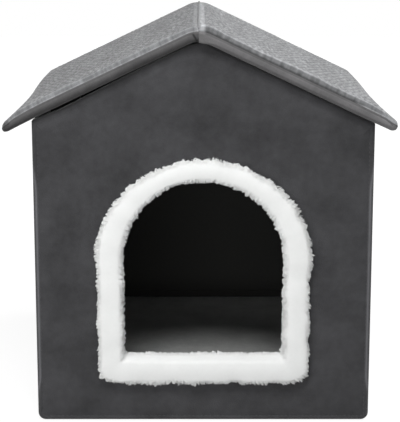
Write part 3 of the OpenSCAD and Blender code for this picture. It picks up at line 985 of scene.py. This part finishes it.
def bead(name, body, seed, finish, along_y=False):
    """Piped seam: a thin cloth-covered cord with the slight lumps of hand-fed piping."""
    low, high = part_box(name)
    middle = (low + high) / 2
    radius = (high.x - low.x) / 2
    start, end = (low.y, high.y) if along_y else (low.z, high.z)
    station = steps(start, end, 4 * MM, 3 * MM)
    sides = 12
    turn = np.arange(sides) * 2 * math.pi / sides
    spots = field(station, np.zeros_like(station))
    thick = radius * (0.93 + 0.06 * ripple(spots, 9 * MM, seed))
    thick[[0, -1]] *= 0.55
    around = thick[:, None] * np.cos(turn)
    across = thick[:, None] * np.sin(turn)
    line = np.repeat(station[:, None], sides, 1)
    if along_y:
        points = np.stack([middle.x + across, line, middle.z + around], -1)
    else:
        points = np.stack([middle.x + around, middle.y + across, line], -1)
    loops = [np.arange(sides) + sides * i for i in range(len(station))]
    faces = [tuple(loops[0][::-1]), tuple(loops[-1])]
    for lower, upper in zip(loops[:-1], loops[1:]):
        faces += strip(upper, lower)
    cloth = np.stack([line, np.broadcast_to(turn * radius, line.shape)], -1).reshape(-1, 2)
    # A plain level of the attribute that carries the roof's painted shade, read only where the quilt finish
    # is used
    marks = {"tone_and_painted_shade": np.full(line.size, 1.1)}
    dress(new_piece(name, points.reshape(-1, 3), faces, marks, cloth), body, [finish], [name])


for side, word in ((-1, "left"), (1, "right")):
    side_half(word + "_front", side, 11 + side)
    side_half(word + "_rear", side, 21 + side)
    corner_return("front_" + word + "_return", "front", side, 31 + side)
    corner_return("back_" + word + "_return", "back", side, 41 + side)
bodies = frame["record"]["behaviour"]["bodies"]
for place in ("front", "crease", "rear"):
    for word in ("left", "right"):
        name = word + "_" + place + "_seam"
        carrier = next(body for body, members in bodies.items() if name in members)
        bead(name, carrier, len(name), piping)


# Floor pad

floor_swell = billow(front_low.x + WALL_T, front_high.x - WALL_T, front_high.y, back_low.y, PAD_CROWN, 50)


def floor_crown(u, v, inside):
    """The pad swells where no wall stands on it, with the pile lying in soft lumps."""
    to_side = half_high.x - WALL_T - np.abs(u)
    to_end = np.minimum(v - front_high.y, back_high.y - WALL_T - v)
    free = rising(np.minimum(to_side, to_end), -2 * MM, 30 * MM)
    spots = field(u, v)
    lumps = 0.6 * MM * ripple(spots, 30 * MM, 51) + 0.35 * MM * ripple(spots, 9 * MM, 52)
    return free * (floor_swell(u, v) + lumps)


pad_cover = pad_piece(
    "base_cover", steps(floor_low.x, floor_high.x, 5 * MM, 10.2 * MM),
    steps(floor_low.y, floor_high.y, 5 * MM, 10.2 * MM),
    PAD_CORNER_R, PAD_T, PAD_EDGE_R, FOLD_R, on_floor, floor_crown, lining_seat)
dress(pad_cover, "base", [plush], ["base_cover"])
bottom_low, bottom_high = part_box("base_bottom")
pad_bottom = pad_piece(
    "base_bottom", steps(bottom_low.x, bottom_high.x, 9 * MM, 5 * MM),
    steps(bottom_low.y, bottom_high.y, 9 * MM, 5 * MM),
    PANEL_CORNER_R, CLOTH_T, CLOTH_TOP_R, CLOTH_EDGE_R / 2,
    deeper(on_floor, floor_high.z - bottom_high.z), side_rows=1)
dress(pad_bottom, "base", [grip_cloth], ["base_bottom"])


def pad_core():
    """The foam board of the floor pad, a skin's thickness inside its cover."""
    core = pad_piece(
        "base_foam", steps(floor_low.x + SKIN_T, floor_high.x - SKIN_T, 9 * MM, 9 * MM),
        steps(floor_low.y + SKIN_T, floor_high.y - SKIN_T, 9 * MM, 9 * MM),
        PAD_CORNER_R - SKIN_T, PAD_T - 2.2 * SKIN_T, PAD_EDGE_R, FOLD_R, deeper(on_floor, SKIN_T))
    dress(core, "base", [foam], ["base_foam"])
    return core


# Each pad piece gets a mesh of its own
for piece in (pad_cover, pad_core()):
    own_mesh(piece)


# Roof

def edge_radius(front_r, eave_r):
    """Radius of a roof panel's edge, which goes over from its front and rear to its eave."""
    def radius(u):
        return front_r + (eave_r - front_r) * rising(u, EAVE_REACH - 16 * MM, EAVE_REACH - 6 * MM)
    return radius


def diamonds(u, v):
    """Embossing from 0 in its creases to 1 on its cushions, a little uneven."""
    spots = field(u, v)
    u_off = u + 1.5 * MM * ripple(spots, 13 * MM, 61)
    v_off = v + 3.0 * MM * ripple(spots, 16 * MM, 62)
    rise = np.abs(np.sin(math.pi * (u_off / DIAMOND_U + v_off / DIAMOND_V)))
    fall = np.abs(np.sin(math.pi * (u_off / DIAMOND_U - v_off / DIAMOND_V)))
    uneven = 0.8 + 0.35 * ripple(spots, 6 * MM, 65)
    return np.sqrt(rise * fall) * uneven


def gathers(u, behind, side):
    """Uneven gathers of the hem along the front edge, about 1 high, that lean as they run back."""
    spots = field(u + 2.6 * behind, np.zeros_like(u), side * 30 * MM)
    return 0.9 + 0.24 * ripple(spots, 26 * MM, 64) + 0.1 * ripple(spots, 7 * MM, 66)


def folds(u, behind, side):
    """Soft folds that run back from the gathered hem, from about -1 to 1."""
    return ripple(field(u, 0.1 * behind, side * 40 * MM), 15 * MM, 67)


def clear_ends(u):
    """1 along the front edge of a roof panel, falling to 0 at its eave."""
    return rising(u, 0, 3 * MM) * (1 - rising(u, EAVE_REACH - 25 * MM, EAVE_REACH - 10 * MM))


def roof_top(side, lip, swell):
    """Upper face of a roof panel: embossing, folds and the hem that stands up behind the front seam."""
    def form(u, v, inside):
        behind = ROOF_HALF_D + side * v
        hemmed = rising(inside, 7 * MM, 12 * MM) * rising(u, 5 * MM, 8 * MM)
        emboss = 1.2 * MM * (diamonds(u, v) - 0.4) * hemmed
        slack = 0.8 * MM * folds(u, behind, side) * (1 - 0.6 * rising(behind, 40 * MM, 200 * MM))
        stand = rising(behind, 0.9 * MM, 3.4 * MM) * (1 - rising(behind, 8 * MM, 40 * MM))
        lifted = lip * gathers(u, behind, side) * stand * clear_ends(u)
        seam = -0.5 * MM * bell(inside, SEAM_IN, 0.5 * MM)
        crease = -0.4 * MM * bell(u, 0, 1.4 * MM)
        loose = rising(inside, 8 * MM, 30 * MM) * rising(u, 8 * MM, 30 * MM)
        raised = 0.3 * MM * rising(inside, 1 * MM, 7 * MM) * rising(u, 3 * MM, 10 * MM)
        return emboss + raised + (slack + swell(u, v)) * loose + lifted + seam + crease
    return form


def roof_painted_shade(u, v, inside, side, seam_shade, strip_shade):
    """How light the roof cloth is painted: painted shade in the embossing's hollows and its folds, no
    embossing at the hem and the ridge, a painted highlight along the ridge, and painted shade and
    highlights on the hem's strip, crest and seam.
    """
    behind = ROOF_HALF_D + side * v
    hemmed = rising(inside, 6 * MM, 9 * MM) * rising(u, 6 * MM, 8 * MM)
    # Painted shade in the embossing's hollows and on the sides of its folds, a little darker on the left
    # panel
    embossed = 0.27 + 0.06 * side + (1.4 - 0.1 * side) * diamonds(u, v) + 0.12 * folds(u, behind, side)
    # Painted highlight along the ridge, lighter on the right panel, with a painted dark crease at its
    # middle
    ridge = (1.45 + 0.2 * side) * (1 - 0.1 * bell(u, 0, 0.8 * MM))
    plain = 1.0 + (ridge - 1.0) * (1 - rising(u, 5 * MM, 9 * MM))
    shade = embossed * hemmed + plain * (1 - hemmed)
    front = clear_ends(u) * (1 - rising(behind, 12 * MM, 16 * MM))
    # Painted shade on the standing face of the hem, with streaks that differ at random, and a painted
    # highlight on its crest
    streaks = 0.14 * ripple(field(u, 4 * behind, side * 20 * MM), 3 * MM, 68)
    face = rising(behind, 1.1 * MM, 1.4 * MM) * (1 - rising(behind, 2.5 * MM, 3.1 * MM))
    strip = (strip_shade + streaks) * face
    crest = bell(behind, 3.9 * MM, 1.0 * MM) * (0.5 + 0.6 * (gathers(u, behind, side) - 0.9))
    if side > 0:
        # Painted shade in a gather near the right panel's eave tip, and the seam's painted shade fading out
        # towards it
        pucker_shade = bell(u, EAVE_REACH - 15 * MM, 5 * MM) * bell(behind, 4 * MM, 1.6 * MM)
        shade = shade * (1 - 0.55 * pucker_shade)
        seam_shade = seam_shade * (1 - rising(u, EAVE_REACH - 50 * MM, EAVE_REACH - 32 * MM))
    # The seam is painted darker on the right panel and lighter on the left, as painted shade and painted
    # highlight
    return shade + front * (strip + crest) + seam_shade * bell(inside, SEAM_IN, 0.42 * MM)


ROOF_ROWS = np.array([0, 0.15, 0.5, 0.7, 0.9, 1.1, 1.35, 1.6, 1.9, 2.2, 2.5, 2.8,
                      3.2, 3.7, 4.3, 5.0, 5.8, 6.6, 7.4, 8.4, 9.6]) * MM


def notch(points):
    """Draws a small wrinkle into the front edge of the left panel, close to the ridge, and gives its depth,
    by which the cloth there is painted darker as painted shade.
    """
    across = points[:, 0] - RIDGE_X
    below = RIDGE_Z - points[:, 2]
    line = -6.2 * MM + 0.6 * (below - 4 * MM)
    depth = bell(across, line, 1.1 * MM) * rising(below, 3.5 * MM, 6 * MM)
    front = 1 - rising(points[:, 1] + ROOF_HALF_D, 0.5 * MM, 6 * MM)
    points[:, 1] += 0.9 * MM * depth * front
    return depth * front


def band_painted_shade(points, side):
    """How light the plain edge cloth is painted: a painted highlight along its top, painted shade that
    darkens the left band downwards where it turns under, painted light towards the right band's tip, and a
    little uneven tone.
    """
    across = np.abs(points[:, 0] - RIDGE_X)
    below = PEAK_Z - across * math.tan(SLOPE) - points[:, 2]
    fall = np.clip((below - 3.5 * MM) / (ROOF_T / math.cos(SLOPE) - 3.5 * MM), 0, 1)
    uneven = 0.10 * ripple(points, 22 * MM, 69) + 0.08 * ripple(points, 8 * MM, 70)
    top_highlight = np.exp(-fall / 0.14)
    if side > 0:
        # Painted light towards the right band's eave tip
        tip = 0.8 * rising(across, 165 * MM, 190 * MM)
        return 1.15 + 0.9 * top_highlight + 0.15 * fall + tip + uneven
    # The left band is painted darker downwards, as painted shade where it turns under
    return 1.0 + 0.3 * top_highlight - 0.45 * fall - 0.3 * rising(fall, 0.6, 1.0) + uneven


def turned_up(side):
    """The underside of a roof panel rises a little to its front edge, and hangs there at the ridge."""
    ridge_w = (11.5 + 3.5 * side) * MM

    def form(u, v, inside):
        hang = 4.6 * MM * bell(u, 0, ridge_w) - 2.5 * MM
        return hang * (1 - rising(ROOF_HALF_D + side * v, 0, HEM_W))
    return form


def roof_seat(side):
    """Underside of a roof panel: its hem, and the window that the lining fills."""
    turn = turned_up(side)

    def form(u, v, inside):
        inner = np.minimum(inside, u - ROOF_T * math.tan(SLOPE))
        return turn(u, v, inside) - (CLOTH_T + LAYER_GAP / 2) * rising(inner, HEM_W - 0.5 * MM, HEM_W)
    return form


def roof_panel(name, side, lip, seam_shade, strip_shade):
    """The cover of a roof panel, with painted shade and highlights on its cloth. The left panel's lower
    edges are rounder, so that its band turns under, and its rear corner is painted dark."""
    start = SEAM_GAP / math.cos(SLOPE)
    ridge_rows = start + np.array([0, 0.4, 1, 1.8, 2.8, 4]) * MM
    rim_u = EAVE_REACH - ROOF_RIM
    rim_v = ROOF_HALF_D - ROOF_RIM
    middle_u = np.linspace(RIDGE_RIM, rim_u, round((rim_u - RIDGE_RIM) / ROOF_STEP_U))
    us = np.concatenate([ridge_rows, middle_u, (EAVE_REACH - ROOF_ROWS)[::-1]])
    middle_v = np.linspace(-rim_v, rim_v, round(2 * ROOF_HALF_D / ROOF_STEP_V))
    vs = np.concatenate([ROOF_ROWS - ROOF_HALF_D, middle_v, (ROOF_HALF_D - ROOF_ROWS)[::-1]])
    swell = billow(start, EAVE_REACH, -ROOF_HALF_D, ROOF_HALF_D, 0.6 * MM, 83 + side)
    upper_r = edge_radius(ROOF_EDGE_R, EAVE_R - 0.3 * MM)
    lower_r = edge_radius((4 - 1.4 * side) * MM, 4.6 * MM)
    cover = pad_piece(
        name + "_cover", us, vs, ROOF_CORNER_R, ROOF_T, upper_r, lower_r, on_roof(side),
        roof_top(side, lip, swell), roof_seat(side), square_start=True, rim_from=0.6 * MM, side_rows=7,
        parts=(0, 1, 1))
    plan_u, plan_v, inside = rounded_plan(*np.meshgrid(us, vs, indexing="ij"), ROOF_CORNER_R, True)
    points = point_values(cover.data, "co")
    # The cover's attribute holds the painted shade and highlights of its band and its top, with a little
    # tone that differs at random
    tone_and_painted_shade = band_painted_shade(points, side)
    # Painted light and shade by side: the right panel is painted lighter and the left darker
    painted_side_shade = 0.95 + 0.1 * side
    top_shade = painted_side_shade * roof_painted_shade(plan_u, plan_v, inside, side, seam_shade, strip_shade)
    if side < 0:
        # Painted shade: the left panel's cloth is painted darker at its eave corner
        from_tip = np.hypot(EAVE_REACH - plan_u, ROOF_HALF_D - plan_v)
        top_shade *= 0.4 + 0.6 * rising(from_tip, 9 * MM, 12 * MM)
    tone_and_painted_shade[:inside.size] = top_shade.ravel()
    if side < 0:
        # Painted shade in the wrinkle
        tone_and_painted_shade *= 1 - 0.85 * notch(points)
        cover.data.vertices.foreach_set("co", points.ravel())
    mark(cover.data, "tone_and_painted_shade", tone_and_painted_shade)
    dress(cover, name, [quilt, band], [name + "_cover"])


def roof_core(name, side):
    """The foam board of a roof panel, a skin's thickness inside its cover."""
    reach = ROOF_HALF_D - SKIN_T
    core = pad_piece(
        name + "_foam", steps(2 * SKIN_T, EAVE_REACH - SKIN_T, 6 * MM, 7 * MM),
        steps(-reach, reach, 6 * MM, 7 * MM), ROOF_CORNER_R - SKIN_T, ROOF_T - 2 * SKIN_T,
        ROOF_EDGE_R, ROOF_EDGE_R, deeper(on_roof(side), SKIN_T), None, turned_up(side), square_start=True)
    dress(core, name, [foam], [name + "_foam"])


def roof_lining(name, side):
    """The lining of a roof panel, inside the hem of its cover."""
    start = ROOF_T * math.tan(SLOPE) + HEM_W + LAYER_GAP
    end = EAVE_REACH - HEM_W - LAYER_GAP
    reach = ROOF_HALF_D - HEM_W - LAYER_GAP
    cloth = lining_piece(
        name, steps(start, end, 8 * MM, 6 * MM), steps(-reach, reach, 8 * MM, 6 * MM),
        deeper(on_roof(side), ROOF_T - CLOTH_T), 71 + side)


roof_panel("roof_left", -1, lip=2.0 * MM, seam_shade=0.25, strip_shade=-0.14)
roof_panel("roof_right", 1, lip=3.6 * MM, seam_shade=-0.95, strip_shade=-0.44)
for side, name in ((-1, "roof_left"), (1, "roof_right")):
    roof_core(name, side)
    roof_lining(name, side)
bead("ridge_seam", "roof_left", 81, quilt, along_y=True)


# Fur trim around the doorway

def trim_rays(count):
    """Rays from the arch's middle, evenly spaced along the trim."""
    angle = np.linspace(0, 2 * math.pi, 4001)
    ray = np.stack([np.cos(angle), np.sin(angle)], 1)
    middle_w = (DOOR_HALF_W + TRIM_HALF_W) / 2
    reach = arch_reach(ray, middle_w, middle_w, SPRING_Z - (DOOR_SILL_Z + TRIM_FOOT_Z) / 2, ROLL_SQUARENESS)
    length = length_along(ray * reach[:, None])
    even = np.interp(np.linspace(0, length[-1], count + 1)[:-1], length, angle)
    return np.stack([np.cos(even), np.sin(even)], 1)


# Across the trim from the doorway to the outside: share of its width, height over the wall, and
# how thickly the strands grow from there to the next row
TRIM_ROLL = [(0.08, -13, 0.3), (0.07, -6, 0.2), (0.07, 0, 0.2), (0.07, 4.5, 0.4), (0.075, 8, 1),
             (0.1, 10, 1), (0.2, 10.8, 0), (0.5, 11, 0), (0.8, 10.8, 1), (0.89, 10, 1),
             (0.92, 8, 0.4), (0.93, 4.5, 0.2), (0.935, 0.4, 0)]
# Rows of the roll: those in the doorway, its inner shoulder, those left bare on the sill, its crown
DOORWAY_ROWS = 2
SHOULDER_ROW = 4
BARE_ON_SILL = slice(1, 6)
CROWN_ROW = 7


def outward(points):
    """Which way the surface of the roll faces at each of its points."""
    along = np.roll(points, -1, axis=1) - np.roll(points, 1, axis=1)
    across = np.gradient(points, axis=0)
    return unit(np.cross(across, along))


def trim_core():
    """The backing roll that the fur grows on: its points in rings, and its faces."""
    ray = trim_rays(TRIM_STEPS)
    inner = arch_reach(ray, DOOR_HALF_W, DOOR_HALF_W, SPRING_Z - DOOR_SILL_Z, DOOR_SQUARENESS)
    outer = arch_reach(ray, TRIM_HALF_W, TRIM_RISE, SPRING_Z - TRIM_FOOT_Z, TRIM_SQUARENESS)
    spots = field(ray[:, 0] * outer, ray[:, 1] * outer)
    outer = outer + 1.4 * MM * ripple(spots, 11 * MM, 96)
    inner = inner + 0.7 * MM * ripple(spots, 11 * MM, 97)
    hole = hole_reach(ray) - 0.4 * MM

    def ring(reach, height):
        at = ray * reach[:, None]
        return on_front(at[:, 0], SPRING_Z + at[:, 1], np.full(len(ray), height * MM))
    rows = [ring(inner + (outer - inner) * row[0], row[1]) for row in TRIM_ROLL]
    rows += [ring(hole, 0.4), ring(hole, -13)]
    points = np.stack(rows)
    lumps = 0.5 * MM * ripple(points, 16 * MM, 94) + 0.25 * MM * ripple(points, 6 * MM, 95)
    points[3:-4] += lumps[3:-4, :, None] * outward(points)[3:-4]
    loops = np.arange(points.shape[0] * points.shape[1]).reshape(points.shape[:2])
    faces = []
    for row in range(len(rows)):
        faces += strip(loops[row], loops[(row + 1) % len(rows)])
    return points, faces


def strands(points, random):
    """Roots, tips and facing of the fur: short strands that lie over the roll, gathered into tufts."""
    last = len(TRIM_ROLL)
    a, b = points[:last - 1], points[1:last]
    a_next, b_next = np.roll(a, -1, axis=1), np.roll(b, -1, axis=1)
    area = np.linalg.norm(np.cross(b - a, a_next - a), axis=-1)
    area *= np.array(TRIM_ROLL)[:-1, 2:]
    on_sill = points[SHOULDER_ROW, :, 2] < DOOR_SILL_Z + 2 * MM
    area[0, on_sill] *= 4
    area[BARE_ON_SILL, on_sill] = 0
    pick = random.choice(area.size, STRAND_COUNT, p=area.ravel() / area.sum())
    row, column = np.unravel_index(pick, area.shape)
    s, t = random.random((2, STRAND_COUNT, 1))
    low = a[row, column] * (1 - s) + a_next[row, column] * s
    high = b[row, column] * (1 - s) + b_next[row, column] * s
    root = low * (1 - t) + high * t
    facing = outward(points)
    normal = facing[row, column] * (1 - t) + facing[row + 1, column] * t
    across = unit(points[last - 1][column] - points[DOORWAY_ROWS][column])
    along = np.cross(normal, across)
    edge = np.where(row[:, None] < CROWN_ROW, -1, 1)
    lean = np.stack([ripple(root, 24 * MM, 91), ripple(root, 9 * MM, 92)], 1)
    loose = random.normal(size=(STRAND_COUNT, 3))
    way = normal * 0.1 + across * (edge * 0.9 + 0.3 * lean[:, 1:])
    way += along * 0.8 * lean[:, :1] + loose * 0.22
    way[:, 2] -= 0.3
    way = unit(way)
    length = STRAND_L * random.uniform(0.6, 1.2, (STRAND_COUNT, 1))
    length *= 1 + 0.45 * ripple(root, 8 * MM, 93)[:, None]
    length *= np.where(row[:, None] < DOORWAY_ROWS, 0.75, 1)
    root = root - normal * 0.25 * MM
    pull = random.uniform(0.1, 1, (STRAND_COUNT, 1)) ** 0.5
    return root, gathered(root, root + way * length, pull, random), normal


def gathered(root, tip, pull, random):
    """Draws the tips of neighbouring strands together into tufts."""
    spread = root + random.normal(scale=0.5 * MM, size=root.shape)
    heads = random.choice(STRAND_COUNT, TUFT_COUNT, replace=False)
    nearest = np.empty(STRAND_COUNT, np.int64)
    for start in range(0, STRAND_COUNT, 1000):
        apart = spread[start:start + 1000, None] - root[None, heads]
        nearest[start:start + 1000] = (apart ** 2).sum(-1).argmin(1)
    return tip + (tip[heads][nearest] - tip) * pull


def fur_trim():
    """The roll with its strands as one mesh, lit evenly by normals that are turned to the front."""
    random = np.random.RandomState(12)
    points, faces = trim_core()
    root, tip, normal = strands(points, random)
    bend = (root + tip) / 2 + normal * STRAND_L * 0.16
    chord = tip - root
    side_a = unit(np.cross(chord, random.normal(size=chord.shape)))
    side_b = unit(np.cross(chord, side_a))
    rings = []
    along = []
    for share, thick in ((0.0, 1.0), (0.45, 0.95), (0.8, 0.6)):
        at = root * (1 - share) ** 2 + bend * 2 * share * (1 - share) + tip * share ** 2
        for turn in (0, 2 * math.pi / 3, 4 * math.pi / 3):
            rings.append(at + STRAND_R * thick * (side_a * math.cos(turn) + side_b * math.sin(turn)))
            along.append(np.full(len(root), share))
    rings.append(tip)
    along.append(np.ones(len(root)))
    core_count = points.shape[0] * points.shape[1]
    hairs = np.stack(rings, 1)
    first = core_count + len(rings) * np.arange(len(root))
    sides = np.array([(0, 1, 4, 3), (1, 2, 5, 4), (2, 0, 3, 5), (3, 4, 7, 6), (4, 5, 8, 7), (5, 3, 6, 8)])
    ends = np.array([(6, 7, 9), (7, 8, 9), (8, 6, 9), (2, 1, 0)])
    faces += (first[:, None, None] + sides).reshape(-1, 4).tolist()
    faces += (first[:, None, None] + ends).reshape(-1, 3).tolist()
    # The roll takes the painted root shade of a strand part way along
    shades = np.concatenate([np.full(core_count, 0.4), np.stack(along, 1).ravel()])
    all_points = np.vstack([points.reshape(-1, 3), hairs.reshape(-1, 3)])
    piece = new_piece("door_trim", all_points, faces, {"along": shades})
    soft = point_values(piece.data, "normal")
    soft[core_count:] = 0.15 * soft[core_count:] + np.repeat(normal, len(rings), axis=0)
    soft[:, 1] -= FRONT_TURN
    piece.data.normals_split_custom_set_from_vertices(soft)
    dress(piece, "front", [fur], ["door_trim"])


fur_trim()


# The foam cores of the walls stay as they are, in a foam finish
for name, node in frame["nodes"].items():
    if name.endswith("_foam"):
        node.data.materials.clear()
        node.data.materials.append(foam)


# Floor, background and lights

def end_in(tree, output, lighting, seen):
    """Ends a tree in one shader for the rays that see the background itself, and one for the rest."""
    path = tree.nodes.new("ShaderNodeLightPath")
    sees = maths(tree, "MAXIMUM", path.outputs["Is Camera Ray"], path.outputs["Is Glossy Ray"])
    sees = maths(tree, "MAXIMUM", sees, path.outputs["Is Transmission Ray"])
    mixed = tree.nodes.new("ShaderNodeMixShader")
    for socket, value in zip(mixed.inputs, (sees, lighting.outputs[0], seen.outputs[0])):
        tree.links.new(value, socket)
    tree.links.new(mixed.outputs[0], tree.nodes.new(output).inputs["Surface"])


def studio_floor():
    """White paper that takes a faint shadow and casts no glow on the object."""
    half = 4.0
    corners = [(-half, -half, 0), (half, -half, 0), (half, half, 0), (-half, half, 0)]
    mesh = bpy.data.meshes.new("studio_floor")
    mesh.from_pydata(corners, [], [(0, 1, 2, 3)])
    floor = bpy.data.objects.new("studio_floor", mesh)
    scene.collection.objects.link(floor)
    paper = bpy.data.materials.new("white_paper")
    paper.use_nodes = True
    tree = paper.node_tree
    tree.nodes.clear()
    plain = add_node(tree, "ShaderNodeBsdfDiffuse", Color=(0.12, 0.12, 0.12, 1))
    faint = add_node(tree, "ShaderNodeBsdfDiffuse", Color=(0.2, 0.2, 0.2, 1))
    glow = add_node(tree, "ShaderNodeEmission", Color=(1, 1, 1, 1))
    where = tree.nodes.new("ShaderNodeNewGeometry")
    away = add_node(tree, "ShaderNodeVectorMath", operation="LENGTH")
    level = add_node(tree, "ShaderNodeMapRange", interpolation_type="SMOOTHSTEP",
                     From_Min=0.35, From_Max=0.9, To_Min=0.9, To_Max=1.0)
    tree.links.new(where.outputs["Position"], away.inputs[0])
    tree.links.new(away.outputs["Value"], level.inputs["Value"])
    tree.links.new(level.outputs["Result"], glow.inputs["Strength"])
    seen = tree.nodes.new("ShaderNodeAddShader")
    tree.links.new(faint.outputs[0], seen.inputs[0])
    tree.links.new(glow.outputs[0], seen.inputs[1])
    end_in(tree, "ShaderNodeOutputMaterial", plain, seen)
    mesh.materials.append(paper)


def studio_world(strength):
    """An even dim light, in front of a white background."""
    world = bpy.data.worlds.new("studio")
    world.use_nodes = True
    scene.world = world
    tree = world.node_tree
    tree.nodes.clear()
    ambient = add_node(tree, "ShaderNodeBackground", Color=(1, 1, 1, 1), Strength=strength)
    white = add_node(tree, "ShaderNodeBackground", Color=(1, 1, 1, 1), Strength=1.0)
    end_in(tree, "ShaderNodeOutputWorld", ambient, white)


def soft_box(name, location, target, width, height, power):
    """A rectangular lamp that faces a target."""
    lamp = bpy.data.lights.new(name, "AREA")
    lamp.shape = "RECTANGLE"
    lamp.size = width
    lamp.size_y = height
    lamp.energy = power
    holder = bpy.data.objects.new(name, lamp)
    holder.location = location
    holder.rotation_euler = (Vector(target) - Vector(location)).to_track_quat("-Z", "Y").to_euler()
    scene.collection.objects.link(holder)


studio_floor()
studio_world(0.18)
soft_box("overhead", (1.1, 0.2, 1.8), (0, 0, 0.3), width=1.2, height=1.2, power=24.5)
soft_box("key", (-0.05, -0.92, 1.22), (0, -0.1, 0.1), width=0.39, height=0.39, power=8.5)
soft_box("front_fill", (-0.45, -1.45, 0.25), (0, -0.19, 0.3), width=1.6, height=0.2, power=11)
scene.view_settings.view_transform = "Standard"
